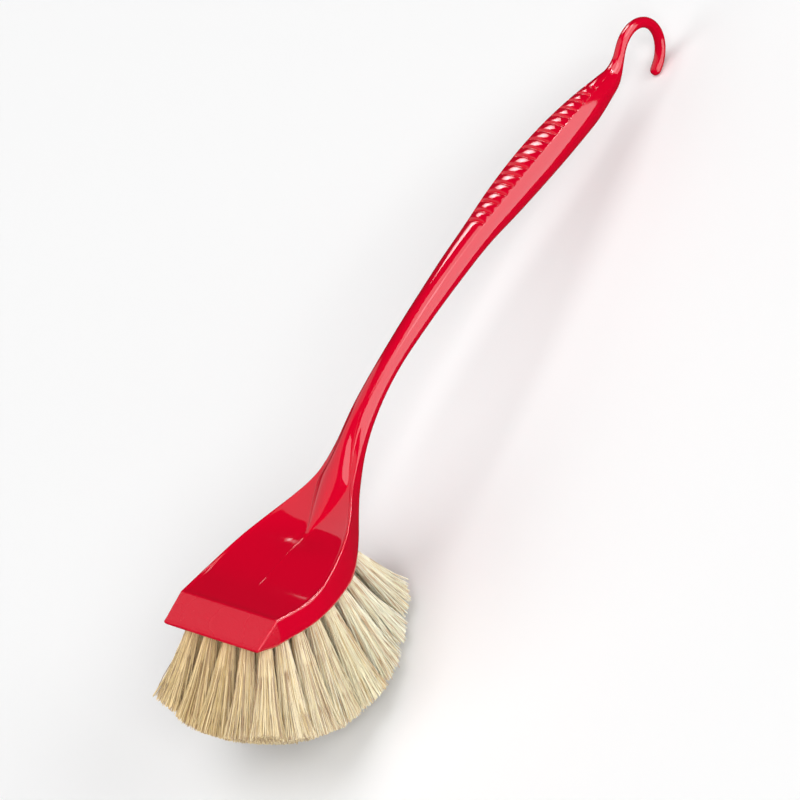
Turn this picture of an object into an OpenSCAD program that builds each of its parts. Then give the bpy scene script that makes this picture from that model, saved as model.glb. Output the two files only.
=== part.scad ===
// Scrub brush: one moulded head, handle and hanging hook, filled with tufts of natural fibre.
// The brush is drawn along its own axis and then laid down on its fibre tips and its hook.
// X runs from the scraper to the hook, Y across the brush and Z up, in millimetres.

/* [Head] */
// Width across the widest place of the head
head_w = 52; // [50:0.5:60]
// Width of the head at the scraper's ridge
ridge_w = 47; // [44:0.5:52]
// Length of the head, from the ridge to the neck
head_l = 64; // [60:0.5:72]
// Height of the side wall at the ridge
wall_h = 11; // [10:0.25:15]
// Height that the rim climbs from the ridge to the neck
rim_rise = 18; // [15:0.5:22]
// Depth of the dished top below its rim
dish_d = 2.2; // [0.8:0.1:3]
// Width of the rounded rim round the dish
rim_w = 1.6; // [1.2:0.1:2.4]
// Height of the rim above the dish beside it
rim_h = 0.4; // [0.2:0.05:0.7]
// Radius where the side wall turns under
wall_r = 2.6; // [1.5:0.1:3.5]

/* [Scraper] */
// Length of the sloping scraper face
scraper_l = 10.6; // [8:0.2:14]
// Slope of the scraper face
scraper_angle = 27; // [20:1:34]
// Thickness of the scraper's lip
lip_t = 1.8; // [1.4:0.1:2.6]

/* [Neck] */
// Half width of the neck at its slimmest place
neck_b = 4.2; // [3.6:0.1:5.5]
// Half depth of the neck at its slimmest place
neck_t = 4; // [3.4:0.1:5]
// Length of the neck, from the head to the grip
neck_l = 76; // [66:1:100]
// Height that the neck climbs
neck_rise = 42.5; // [34:0.5:50]

/* [Grip] */
// Length of the grip, from the neck to the hook's rod
grip_l = 99.5; // [92:0.5:125]
// Height that the grip climbs
grip_rise = 28; // [22:0.5:34]
// Width of the grip at its fullest place
grip_w = 14.4; // [12:0.2:18]
// Height of the grip above its widest line
grip_top = 7.3; // [5.5:0.1:9]
// Depth of the grip below its widest line
grip_bottom = 8.1; // [6:0.1:10]
// Width of the ribbed thumb strip at its widest place
strip_w = 10.6; // [7:0.2:11.4]
// Crown of the strip across its width
strip_crown = 1.1; // [0.5:0.1:1.6]
// Number of ribs on the strip
rib_count = 16; // [8:1:17]
// Distance from one rib to the next
rib_pitch = 4.7; // [3.6:0.1:4.8]
// Depth of the grooves between the ribs
rib_d = 0.9; // [0.4:0.1:1.2]

/* [Hook] */
// Diameter of the hook's rod
rod_d = 4.2; // [3.4:0.1:5]
// Radius of the hook, to the middle of its rod
hook_r = 12.2; // [9:0.2:15]
// Angle that the hook turns through
hook_turn = 205; // [170:1:220]
// Radius of the bend between the grip and the hook
bend_r = 16; // [12:0.5:20]

/* [Tufts] */
// Number of tufts in each row, from the scraper to the neck
row_counts = [5, 5, 5, 5, 5, 5, 4, 3];
// Distance between rows
row_pitch = 7.8; // [7.2:0.1:8.2]
// Distance between tufts in a row
tuft_pitch = 8.7; // [7.4:0.1:9]
// Diameter of the holes that hold the tufts
hole_d = 4.2; // [3.4:0.1:4.6]
// Depth of the holes along their axes
hole_depth = 7; // [5.5:0.25:7.5]
// Clearance between a tuft and its hole
tuft_clear = 0.05; // [0.02:0.01:0.1]
// Diameter that a tuft spreads to at its trimmed end
tip_d = 10.4; // [7:0.2:10.8]
// Radius of the dome that the fibres are trimmed to
trim_r = 60; // [54:0.5:64]
// Tilt of the first row's holes towards the scraper
front_fan = 27; // [20:1:30]
// Tilt of the last row's holes towards the neck
rear_fan = 28; // [20:1:32]
// Tilt of a row's outermost holes to the side
side_fan = 11; // [4:0.5:12]

/* [Anchors] */
// Thickness of the flat wire that pins a tuft
anchor_t = 0.4; // [0.3:0.05:0.5]
// Width of the flat wire
anchor_w = 1.6; // [1.2:0.1:2]
// How far the wire bites into the hole's wall at each end
anchor_bite = 0.45; // [0.3:0.05:0.6]
// Thickness of the fibre loop under the wire
loop_t = 1; // [0.6:0.1:1.4]

/* [Hidden] */
$fn = 48;
eps = 0.01;
body_red = [0.83, 0, 0.14];
fibre_straw = [0.92, 0.87, 0.72];
wire_steel = [0.72, 0.72, 0.74];

// A smooth line through a few points, each [place, value]: a cubic between neighbours, level with
// the mean rise at every point.
function rise(p, i) = (p[i + 1][1] - p[i][1]) / (p[i + 1][0] - p[i][0]);
function gap(p, i) = p[i + 1][0] - p[i][0];
function grade(p, i) =
    i == 0 ? rise(p, 0)
    : i == len(p) - 1 ? rise(p, i - 1)
    : (rise(p, i - 1) * gap(p, i) + rise(p, i) * gap(p, i - 1)) / (gap(p, i) + gap(p, i - 1));
function span_of(p, x, i = 0) = i >= len(p) - 2 || x < p[i + 1][0] ? i : span_of(p, x, i + 1);
function cubic(p, x, i, t) =
    (2 * t ^ 3 - 3 * t ^ 2 + 1) * p[i][1]
    + (t ^ 3 - 2 * t ^ 2 + t) * gap(p, i) * grade(p, i)
    + (3 * t ^ 2 - 2 * t ^ 3) * p[i + 1][1]
    + (t ^ 3 - t ^ 2) * gap(p, i) * grade(p, i + 1);
function curve(p, x) = let (i = span_of(p, x)) cubic(p, x, i, (x - p[i][0]) / gap(p, i));
function ease(t) = let (u = min(max(t, 0), 1)) u * u * (3 - 2 * u);
function mix(a, b, t) = a * (1 - t) + b * t;

// Places along the body: the lip, the ridge at 0, the neck, the grip and its end.
lip_x = -scraper_l;
neck_x = head_l;
grip_x = neck_x + neck_l;
end_x = grip_x + grip_l;
function head_at(share) = share * head_l;
function neck_at(share) = neck_x + share * neck_l;
function grip_at(share) = grip_x + share * grip_l;

// The rim of the head, which runs on as the widest line of the neck and grip, in the side view.
rim_line = concat(
    [for (p = [[0, 0], [0.27, 0], [0.53, 0.23], [0.7, 0.42], [0.83, 0.62], [1, 1]])
        [head_at(p[0]), p[1] * rim_rise]],
    [for (p = [[0.16, 0.225], [0.37, 0.485], [0.71, 0.79], [1, 1]])
        [neck_at(p[0]), rim_rise + p[1] * neck_rise]],
    [for (p = [[0.16, 0.2], [0.35, 0.4], [0.6, 0.64], [0.8, 0.82], [1, 1]])
        [grip_at(p[0]), rim_rise + neck_rise + p[1] * grip_rise]]);
function rim_z(x) = x < 0 ? x * tan(scraper_angle) : curve(rim_line, x);
function rim_slope(x) = atan2(rim_z(x + 0.5) - rim_z(x - 0.5), 1);

// Sections stand upright through the head and turn square to the handle through the neck.
function lean(x) = rim_slope(x) * ease((x - head_at(0.78)) / (neck_at(0.2) - head_at(0.78)));

// Half the width on the rim, in the plan view.
swell = [[0.47, 0], [0.71, 0.15], [1, 0.34]];
grip_swell = [[0.16, 0.46], [0.35, 0.8], [0.6, 1], [0.74, 0.88], [0.87, 0.58], [1, 0.05]];
half_width_line = concat(
    [[0, ridge_w / 2]],
    [for (p = [[0.27, 1], [0.53, 0.89], [0.7, 0.733], [0.83, 0.557], [0.93, 0.4], [1, 0.315]])
        [head_at(p[0]), p[1] * head_w / 2]],
    [[neck_at(0.16), 1.286 * neck_b], [neck_at(0.3), 1.071 * neck_b]],
    [for (p = swell) [neck_at(p[0]), mix(neck_b, grip_w / 2, p[1])]],
    [for (p = grip_swell) [grip_at(p[0]), mix(neck_b, grip_w / 2, p[1])]]);
lip_w = 0.979 * ridge_w;
function half_width(x) = x < 0 ? mix(ridge_w, lip_w, x / lip_x) / 2 : curve(half_width_line, x);

// Height of the handle's back over the rim. In the head it starts under the dish and breaks
// through it, which leaves the pointed foot of the handle.
foot_from = head_at(0.6);
foot_x = head_at(0.69);
back_line = concat(
    [[foot_from, -1.45 * neck_t - dish_d], [foot_x, -0.05 * neck_t - dish_d]],
    [for (p = [[0.76, -0.075], [0.86, 0.725], [0.94, 1.1], [1, 1.15]]) [head_at(p[0]), p[1] * neck_t]],
    [for (p = [[0.16, 1.325], [0.27, 1.175]]) [neck_at(p[0]), p[1] * neck_t]],
    [for (p = swell) [neck_at(p[0]), mix(neck_t, grip_top, p[1])]],
    [for (p = grip_swell) [grip_at(p[0]), mix(neck_t, grip_top, p[1])]]);

function back(x) = curve(back_line, max(x, foot_from));

// Depth of the underside below the rim.
under_line = concat(
    [[0, wall_h], [head_at(0.27), wall_h]],
    [for (p = [[0.53, 0.21], [0.68, 0.345], [0.78, 0.34], [0.86, 0.23], [0.94, 0.01]])
        [head_at(p[0]), wall_h + p[1] * rim_rise]],
    [for (p = [[0, 2.3], [0.08, 1.675], [0.16, 1.4], [0.27, 1.175]]) [neck_at(p[0]), p[1] * neck_t]],
    [for (p = [[0.47, 0], [0.71, 0.12], [1, 0.3]])
        [neck_at(p[0]), mix(neck_t, grip_bottom, p[1])]],
    [for (p = [[0.16, 0.42], [0.35, 0.78], [0.6, 0.98], [0.74, 1], [0.87, 0.95], [1, 0.4]])
        [grip_at(p[0]), mix(neck_t, grip_bottom, p[1])]]);
nose_line = [[lip_x, lip_t], [0.78 * lip_x, 0.36 * wall_h], [0.3 * lip_x, 0.82 * wall_h], [0, wall_h]];
function under(x) = x < 0 ? curve(nose_line, x) : curve(under_line, x);

// How deep the top is dished below the rim, and how far the rim stands over it.
dish_line = [[0, 0], [0.27, 0.08], [0.53, 0.35], [0.69, 1], [0.78, 0.72], [0.88, 0.3], [1, 0]];
function dish(x) = x < 0 || x > head_l ? 0 : dish_d * curve(dish_line, x / head_l);
function bead(x) = rim_h * ease(16 * x / head_l) * (1 - ease(8 * (x - head_at(0.9)) / head_l));

// Half the width of the handle's pointed foot, where it meets the dish.
foot_line = [[0, 0.385], [0.3, 0.385], [0.53, 0.231], [0.69, 0.023], [0.76, 0.115], [0.86, 0.223],
    [0.94, 0.277], [1, 0.308]];
function foot_half(x) =
    min(head_w / 2 * lookup(x / head_l, foot_line), 0.92 * (half_width(x) - rim_w));

// Half the width of the thumb strip on the grip's back.
strip_line = [[0.8, 0.5], [1, 0.65], [1.15, 0.72], [1.32, 0.92], [1.47, 1], [1.6, 0.98],
    [1.74, 0.86], [1.87, 0.66], [2, 0.42]];
function along(x) = x < grip_x ? (x - neck_x) / neck_l : 1 + (x - grip_x) / grip_l;
function strip_half(x) = strip_w / 2 * curve(strip_line, along(x));

// Ribs across the strip: rounded backs with narrow grooves between them.
rib_run = rib_pitch * cos(atan2(grip_rise, grip_l));
rib_x = grip_at(0.9146) - rib_count * rib_run;
rib_places = [0, 0.2, 0.5, 0.8];
function groove(x) =
    let (t = (x - rib_x) / rib_run)
    t < -eps || t > rib_count + eps ? 0 : rib_d * (1 - sin(180 * (t - floor(t + eps))) ^ 0.7);

// A section is a ring of points [across, up], measured from the rim's height. Each kind has eight
// points from the rim to the middle of the top and five from under the rim to the middle below.
over_angles = [0, 13, 26, 39, 52, 65, 78, 90];
below_angles = [18, 36, 54, 72, 90];
over_last = len(over_angles) - 1;
below_last = over_last + len(below_angles);
function oval_over(b, h) = [for (a = over_angles) [b * cos(a), h * sin(a)]];
function oval_below(b, h) = [for (a = below_angles) [b * cos(a), -h * sin(a)]];

// The rim's outer edge and the wall's draft, and how far the underside bellies out.
edge_r = 0.44 * rim_w;
draft = 0.018 * wall_h;
belly = 0.055 * wall_h;
function dish_n(x, y) =
    let (inner = half_width(x) - rim_w) -bead(x) - dish(x) * (1 - min(1, (y / inner) ^ 2));
function back_n(x, y) =
    let (f = foot_half(x), top = back(x), side = dish_n(x, f))
    x < foot_from ? dish_n(x, y) : max(dish_n(x, y), top - (top - side) * (y / f) ^ 2);
function head_over(x) =
    let (b = half_width(x), f = foot_half(x), r = min(edge_r, under(x) / 3))
    [[b, -r], [b - 0.3 * r, -0.3 * r], [b - r, 0], [b - rim_w, dish_n(x, b - rim_w)],
        for (y = [(f + b - rim_w) / 2, f]) [y, dish_n(x, y)],
        for (y = [f / 2, 0]) [y, back_n(x, y)]];
function head_below(x) =
    let (b = half_width(x), h = under(x), r = min(wall_r, h / 2.5), s = belly * min(1, h / wall_h))
    [[b - draft, -(h - r)], [b - draft - 0.3 * r, -(h - 0.3 * r)], [b - draft - r, -h],
        [b / 2, -h - 0.75 * s], [0, -h - s]];

function grip_over(x) =
    let (b = half_width(x), w = min(strip_half(x), 0.95 * b), h = back(x), g = groove(x))
    [for (t = [0, 0.25, 0.5, 0.75]) [w + (b - w) * cos(90 * t), (h - strip_crown) * t],
        [w, h - strip_crown - 0.3 * g],
        for (t = [0.72, 0.36, 0]) [w * t, h - strip_crown * t ^ 2 - g]];

// One body section: the head's form gives way to the neck's oval, and that to the grip's.
to_oval_x = neck_at(0.27);
function over_points(x) =
    let (to_oval = ease((x - head_at(0.92)) / (to_oval_x - head_at(0.92))),
        to_grip = ease((x - neck_at(0.52)) / (grip_at(0.1) - neck_at(0.52))),
        oval = oval_over(half_width(x), back(x)))
    to_oval <= 0 ? head_over(x)
    : to_oval < 1 ? mix(head_over(x), oval, to_oval)
    : to_grip <= 0 ? oval
    : mix(oval, grip_over(x), to_grip);
function below_points(x) =
    let (to_oval = ease((x - head_at(0.85)) / (to_oval_x - head_at(0.85))),
        oval = oval_below(half_width(x), under(x)))
    to_oval <= 0 ? head_below(x) : to_oval < 1 ? mix(head_below(x), oval, to_oval) : oval;

// The ring of a section, turned by its lean and set at [x, z].
function mirrored(p) = [-p[0], p[1]];
function ring(over, below, x, z, turn) =
    let (half = concat([for (i = [over_last:-1:0]) over[i]], below),
        all = concat(half, [for (i = [below_last - 1:-1:1]) mirrored(half[i])]))
    [for (p = all) [x - p[1] * sin(turn), p[0], z + p[1] * cos(turn)]];
function body_ring(x) = ring(over_points(x), below_points(x), x, rim_z(x), lean(x));

// The lip's rounded front: the section at the lip, closed in to its middle.
function lip_ring(a) =
    let (r = lip_t / 2, full = body_ring(lip_x), mid = rim_z(lip_x) - r)
    [for (p = full) [p[0] - r * cos(a), p[1] * (1 - 0.4 * r * (1 - sin(a)) / full[over_last][1]),
        mid + (p[2] - mid) * sin(a)]];

body_stops = concat(
    [for (i = [0:3]) lip_x * (1 - i / 4)],
    [for (i = [0:24]) head_at(i / 24)],
    [for (i = [1:18]) neck_at(i / 18)],
    [for (i = [1:4]) mix(grip_x, rib_x, i / 5)],
    [for (i = [0:rib_count - 1], t = rib_places) rib_x + (i + t) * rib_run],
    [for (i = [0:2]) mix(rib_x + rib_count * rib_run, end_x, i / 2)]);

// The hook: a bend that turns up out of the grip, then an arc that turns over and down.
function path_step(a, b, r) = [r * (sin(b) - sin(a)), r * (cos(a) - cos(b))];
end_point = [end_x, rim_z(end_x)];
end_slope = rim_slope(end_x - 1);
top_slope = 60;
hook_start = end_point + path_step(end_slope, top_slope, bend_r);
hook_centre = hook_start + hook_r * [sin(top_slope), -cos(top_slope)];
function hook_point(turned) =
    hook_centre + hook_r * [-sin(top_slope - turned), cos(top_slope - turned)];
rod_r = rod_d / 2;
function bend_ring(t) =
    let (slope = mix(end_slope, top_slope, t), p = end_point + path_step(end_slope, slope, bend_r),
        k = 1 - (1 - t) ^ 1.6, b = mix(half_width(end_x), rod_r, k),
        over = mix(grip_over(end_x), oval_over(rod_r, rod_r), k),
        below = oval_below(b, mix(under(end_x), rod_r, ease(1.15 * t))))
    ring(over, below, p[0], p[1], slope);
function rod_ring(turned, r, ahead) =
    let (slope = top_slope - turned, p = hook_point(turned) + ahead * [cos(slope), sin(slope)])
    ring(oval_over(r, r), oval_below(r, r), p[0], p[1], slope);
hook_steps = 22;
tip_angles = [30, 58, 80];
body_rings = concat(
    [for (a = [20, 50]) lip_ring(a)],
    [for (x = body_stops) body_ring(x)],
    [for (i = [1:6]) bend_ring(i / 6)],
    [for (i = [1:hook_steps]) rod_ring(hook_turn * i / hook_steps, rod_r, 0)],
    [for (a = tip_angles) rod_ring(hook_turn, rod_r * cos(a), rod_r * sin(a))]);

// A solid through a list of rings, each with the same even number of points. Both ends are closed
// with triangles that meet half way between the ring's top and its bottom.
module skin(rings) {
    n = len(rings[0]);
    last = len(rings) - 1;
    sides = [for (k = [0:last - 1], i = [0:n - 1]) let (j = (i + 1) % n, a = k * n, b = a + n)
        each [[a + i, b + j, b + i], [a + i, a + j, b + j]]];
    middles = [for (r = [rings[0], rings[last]]) (r[0] + r[n / 2]) / 2];
    first_end = [for (i = [0:n - 1]) [n * len(rings), (i + 1) % n, i]];
    last_end = [for (i = [0:n - 1]) [n * len(rings) + 1, last * n + i, last * n + (i + 1) % n]];
    polyhedron(concat([for (r = rings) each r], middles), concat(sides, first_end, last_end),
        convexity = 8);
}

// Rows of tufts. Each tuft's hole opens on the underside and leans with its row's place in the fan.
row_total = len(row_counts);
first_row_x = head_at(-0.0406);
function row_stop(i) = first_row_x + i * row_pitch;
function row_mouth(i) =
    let (x = row_stop(i), h = under(x), a = lean(x)) [x + h * sin(a), rim_z(x) - h * cos(a)];
function row_tilt(i) = mix(-front_fan, rear_fan, i / (row_total - 1));
function tuft_y(i, j) = (j - (row_counts[i] - 1) / 2) * tuft_pitch;
function tuft_side(y) = side_fan * y / (2 * tuft_pitch);
trim_centre = [head_at(0.3203), 0.0455 * wall_h];

// A tuft is straight at its root, then a cone that has its named width at a set distance.
tuft_r = hole_d / 2 - tuft_clear;
straight = 0.286 * hole_d;
measured_at = 0.6333 * trim_r;
spread = (tip_d / 2 - tuft_r) / (measured_at - straight);
past_trim = trim_r;

// Moves a piece drawn down its own Z axis into the place and fan of tuft j of row i.
module in_tuft(i, j) {
    m = row_mouth(i);
    y = tuft_y(i, j);
    translate([m[0], y, m[1]])
        rotate([tuft_side(y), -row_tilt(i), 0])
            mirror([0, 0, 1])
                children();
}

// The foremost fibre of the first row, where the edge of its middle tuft meets the trimmed dome.
front_dir = [-sin(front_fan + atan(spread)), -cos(front_fan + atan(spread))];
front_edge = row_mouth(0) - trim_centre + tuft_r * [-cos(front_fan), sin(front_fan)]
    + straight * [-sin(front_fan), -cos(front_fan)];
front_run = -front_edge * front_dir
    + sqrt((front_edge * front_dir) ^ 2 - front_edge * front_edge + trim_r ^ 2);
front_tip = trim_centre + front_edge + front_run * front_dir;

// The floor touches the trimmed dome of the fibres and the hook's end.
hook_end = hook_point(hook_turn);
reach = hook_end - trim_centre;
lie = atan2(reach[1], reach[0]) + asin((trim_r - rod_r) / norm(reach));
function laid(p) = [p[0] * cos(lie) + p[1] * sin(lie), p[1] * cos(lie) - p[0] * sin(lie)];
lift = trim_r - laid(trim_centre)[1];
front_reach = -laid(front_tip)[0];
back_reach = laid(hook_centre)[0] + hook_r + rod_r;
slide = (front_reach - back_reach) / 2;
module lay() {
    translate([slide, 0, lift]) rotate([0, lie, 0]) children();
}

// Head, scraper, handle and hook in one moulding, with a blind hole and a pair of slits for the
// anchor wire at every tuft.
module handle() {
    color(body_red) lay() difference() {
        skin(body_rings);
        for (i = [0:row_total - 1], j = [0:row_counts[i] - 1]) in_tuft(i, j) hole();
    }
}
module hole() {
    translate([0, 0, -hole_depth]) cylinder(d = hole_d, h = hole_depth + hole_d);
    anchor_slit(hole_d + 2 * anchor_bite + 2 * tuft_clear, anchor_t + 2 * tuft_clear);
}
module anchor_slit(l, t) {
    translate([-l / 2, -t / 2, -hole_depth + loop_t]) cube([l, t, anchor_w + tuft_clear]);
}

// One tuft: fibres folded double over the anchor wire, packed in the hole and spread to the trim.
module tuft(i, j) {
    color(fibre_straw) lay() intersection() {
        in_tuft(i, j) difference() {
            rotate_extrude()
                polygon([[0, -hole_depth], [tuft_r, -hole_depth], [tuft_r, straight],
                    [tuft_r + spread * (past_trim - straight), past_trim], [0, past_trim]]);
            anchor_slit(1.2 * hole_d, anchor_t);
        }
        translate([trim_centre[0], 0, trim_centre[1]]) sphere(r = trim_r, $fn = 180);
    }
}

// The flat anchor wires of one row.
module anchors(i) {
    color(wire_steel) lay()
        for (j = [0:row_counts[i] - 1]) in_tuft(i, j)
            translate([-hole_d / 2 - anchor_bite, -anchor_t / 2, -hole_depth + loop_t])
                cube([hole_d + 2 * anchor_bite, anchor_t, anchor_w]);
}

function tuft_name(i, j) = str("tuft_", i + 1, "_", j + 1);
function anchors_name(i) = str("anchors_", i + 1);

handle();
for (i = [0:row_total - 1], j = [0:row_counts[i] - 1])
    tuft(i, j);
for (i = [0:row_total - 1])
    anchors(i);
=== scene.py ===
# %% [markdown]
# # A scrub brush, dressed for the camera
# The brush is one glossy red moulding, a head that runs on into a handle and a hook, filled with
# tufts of natural fibre. The fixed frame gives its size and its place on the floor. This lesson
# builds the looks around it: a smooth moulding, tufts of real strands, their finishes, the light.

import math

import bmesh
import bpy
import numpy as np
from mathutils import Matrix, Vector


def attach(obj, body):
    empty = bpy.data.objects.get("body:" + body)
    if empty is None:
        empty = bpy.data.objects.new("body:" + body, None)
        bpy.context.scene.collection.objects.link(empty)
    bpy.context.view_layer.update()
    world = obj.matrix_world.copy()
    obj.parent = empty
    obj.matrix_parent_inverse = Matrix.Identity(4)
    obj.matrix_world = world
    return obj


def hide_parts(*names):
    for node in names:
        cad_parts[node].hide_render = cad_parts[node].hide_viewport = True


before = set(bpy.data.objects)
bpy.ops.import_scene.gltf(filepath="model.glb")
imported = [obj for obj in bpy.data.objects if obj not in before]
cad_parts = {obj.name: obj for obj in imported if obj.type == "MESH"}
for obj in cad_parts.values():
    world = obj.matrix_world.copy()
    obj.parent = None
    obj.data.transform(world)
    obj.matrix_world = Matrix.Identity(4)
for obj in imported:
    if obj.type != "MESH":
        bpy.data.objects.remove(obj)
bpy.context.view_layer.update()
MM = 0.001  # in metres

# %% [markdown]
# ## Smooth lines
# A maker draws a handle from a side view and a top view. Each view is a smooth line through a few
# points, so one small function is all that the drawing needs: a cubic between neighbours. Its
# slope at a point is the mean of the rises on both sides, and the nearer neighbour counts for more.

# %% A curve through a few points
def curve(points, x):
    xs = [p[0] for p in points]
    ys = [p[1] for p in points]
    gaps = [b - a for a, b in zip(xs, xs[1:])]
    rises = [(b - a) / g for a, b, g in zip(ys, ys[1:], gaps)]
    last = len(xs) - 1

    def grade(i):
        if i == 0:
            return rises[0]
        if i == last:
            return rises[-1]
        return (rises[i - 1] * gaps[i] + rises[i] * gaps[i - 1]) / (gaps[i] + gaps[i - 1])

    i = 0
    while i < last - 1 and x >= xs[i + 1]:
        i += 1
    t = (x - xs[i]) / gaps[i]
    return ((2 * t**3 - 3 * t**2 + 1) * ys[i] + (t**3 - 2 * t**2 + t) * gaps[i] * grade(i)
            + (3 * t**2 - 2 * t**3) * ys[i + 1] + (t**3 - t**2) * gaps[i] * grade(i + 1))


def lookup(points, x):
    return float(np.interp(x, [p[0] for p in points], [p[1] for p in points]))


def ease(t):
    u = min(max(t, 0.0), 1.0)
    return u * u * (3 - 2 * u)


def fade(x, start, end):
    return ease((x - start) / (end - start))


def mix(a, b, t):
    return a * (1 - t) + b * t


print("curve helper ready", round(curve([(0, 0), (1, 1), (2, 0)], 0.5), 3))

# %% [markdown]
# ## The brush's own sizes
# All sizes are in millimetres, or degrees, and match the frame. X runs from the ridge behind the
# scraper to the hook. Heights are measured from that ridge, before the brush is laid down.

# %% Sizes of the head
HEAD_W, HEAD_L = 52, 64           # widest and longest, without the scraper
RIDGE_W, SCRAPER_W = 47, 46       # across the ridge and across the lip in front of it
SCRAPER_L, SCRAPER_ANGLE, LIP_T = 10.6, 27, 1.8
WALL_H, WALL_R, DRAFT = 11, 2.6, 0.2   # the side wall, its lower edge and how far it leans in
RIM_W, RIM_H, RIM_RISE = 1.6, 0.4, 18  # the raised rim, and how far it climbs along the head
DISH_D, BELLY = 2.2, 0.6          # the hollow on top and the bulge below
EDGE_R = 0.7                      # the rounded outer edge of the rim

# %% Sizes of the handle
NECK_B, NECK_T, NECK_L, NECK_RISE = 4.2, 4, 76, 42.5
GRIP_L, GRIP_RISE, GRIP_W, GRIP_TOP, GRIP_BOTTOM = 99.5, 28, 14.4, 7.3, 8.1
STRIP_W, STRIP_CROWN = 10.6, 1.1       # the thumb strip along the grip's back
RIB_COUNT, RIB_PITCH, RIB_D, RIBS_END_GAP = 16, 4.7, 0.9, 8.5
ROD_D, HOOK_R, HOOK_TURN, BEND_R = 4.2, 12.2, 205, 16
TOP_SLOPE = 60                         # how steeply the rod climbs before it turns over

# %% Sizes of the tufts
ROWS = [5, 5, 5, 5, 5, 5, 4, 3]        # tufts in each row, from the scraper to the handle
ROW_PITCH, TUFT_PITCH, FIRST_ROW_X = 7.8, 8.7, -2.6
HOLE_D, TUFT_CLEAR, STRAIGHT = 4.2, 0.05, 1.2
TIP_D, MEASURED_AT = 10.4, 38          # a tuft's width, this far from its mouth
FRONT_FAN, REAR_FAN, SIDE_FAN = 27, 28, 11
TRIM_R, TRIM_CENTRE = 60, (20.5, 0.5)  # the dome that shears all tufts

# %% Places along the brush
NECK_X = HEAD_L
GRIP_X = NECK_X + NECK_L
END_X = GRIP_X + GRIP_L
LIP_X = -SCRAPER_L


def head_at(share):
    return share * HEAD_L


def neck_at(share):
    return NECK_X + share * NECK_L


def grip_at(share):
    return GRIP_X + share * GRIP_L


print("length along the brush", round(END_X - LIP_X + 2 * HOOK_R), "mm")

# %% [markdown]
# ## The side view and the top view
# The rim of the head runs on as the widest line of the neck and grip, so one line carries the
# whole body. The back stands over it, the underside hangs below it, and the top view gives half
# the width. Points are given as shares of the head, neck or grip, as on a drawing.

# %% The points of each line
RIM_LINE = ([(head_at(a), b * RIM_RISE) for a, b in
             [(0, 0), (0.27, 0), (0.53, 0.23), (0.7, 0.42), (0.83, 0.62), (1, 1)]]
            + [(neck_at(a), RIM_RISE + b * NECK_RISE) for a, b in
               [(0.16, 0.225), (0.37, 0.485), (0.71, 0.79), (1, 1)]]
            + [(grip_at(a), RIM_RISE + NECK_RISE + b * GRIP_RISE) for a, b in
               [(0.16, 0.2), (0.35, 0.4), (0.6, 0.64), (0.8, 0.82), (1, 1)]])
SWELL = [(0.47, 0), (0.71, 0.15), (1, 0.34)]
GRIP_SWELL = [(0.16, 0.46), (0.35, 0.8), (0.6, 1), (0.74, 0.88), (0.87, 0.58), (1, 0.05)]
HEAD_SHARES = [(0.27, 1), (0.53, 0.89), (0.7, 0.733), (0.83, 0.557), (0.93, 0.4), (1, 0.315)]
HALF_WIDTH_LINE = ([(0, RIDGE_W / 2)]
                   + [(head_at(a), b * HEAD_W / 2) for a, b in HEAD_SHARES]
                   + [(neck_at(0.16), NECK_B + 1.2), (neck_at(0.3), NECK_B + 0.3)]
                   + [(neck_at(a), mix(NECK_B, GRIP_W / 2, b)) for a, b in SWELL]
                   + [(grip_at(a), mix(NECK_B, GRIP_W / 2, b)) for a, b in GRIP_SWELL])
BACK_LINE = ([(head_at(0.6), -5.8 - DISH_D), (head_at(0.69), -0.2 - DISH_D),
              (head_at(0.76), -0.3), (head_at(0.86), 2.9), (head_at(0.94), 4.4),
              (head_at(1), 4.6), (neck_at(0.16), NECK_T + 1.3), (neck_at(0.27), NECK_T + 0.7)]
             + [(neck_at(a), mix(NECK_T, GRIP_TOP, b)) for a, b in SWELL]
             + [(grip_at(a), mix(NECK_T, GRIP_TOP, b)) for a, b in GRIP_SWELL])
UNDER_LINE = ([(0, WALL_H), (head_at(0.27), WALL_H)]
              + [(head_at(a), WALL_H + b * RIM_RISE) for a, b in
                 [(0.53, 0.21), (0.68, 0.345), (0.78, 0.34), (0.86, 0.23), (0.94, 0.01)]]
              + [(head_at(1), NECK_T + 5.2), (neck_at(0.08), NECK_T + 2.7),
                 (neck_at(0.16), NECK_T + 1.6), (neck_at(0.27), NECK_T + 0.7)]
              + [(neck_at(a), mix(NECK_T, GRIP_BOTTOM, b)) for a, b in
                 [(0.47, 0), (0.71, 0.12), (1, 0.3)]]
              + [(grip_at(a), mix(NECK_T, GRIP_BOTTOM, b)) for a, b in
                 [(0.16, 0.42), (0.35, 0.78), (0.6, 0.98), (0.74, 1), (0.87, 0.95), (1, 0.4)]])
NOSE_LINE = [(LIP_X, LIP_T), (0.78 * LIP_X, 0.36 * WALL_H), (0.3 * LIP_X, 0.82 * WALL_H),
             (0, WALL_H)]
DISH_LINE = [(0, 0), (0.27, 0.08), (0.53, 0.35), (0.69, 1), (0.78, 0.72), (0.88, 0.3), (1, 0)]
FOOT_LINE = [(0, 10), (0.3, 10), (0.53, 6), (0.69, 0.6), (0.76, 3), (0.86, 5.8), (0.94, 7.2),
             (1, 8)]
STRIP_LINE = [(0.8, 0.5), (1, 0.65), (1.15, 0.72), (1.32, 0.92), (1.47, 1), (1.6, 0.98),
              (1.74, 0.86), (1.87, 0.66), (2, 0.42)]
print("points on the rim's line", len(RIM_LINE))

# %% [markdown]
# ### Reading the lines
# Each function gives one size of the body at a place x: the height of the rim, how far the body
# leans there, half its width, its back and its underside, the depth of the dish, and the width of
# the foot with which the handle rises out of the dish.

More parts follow.
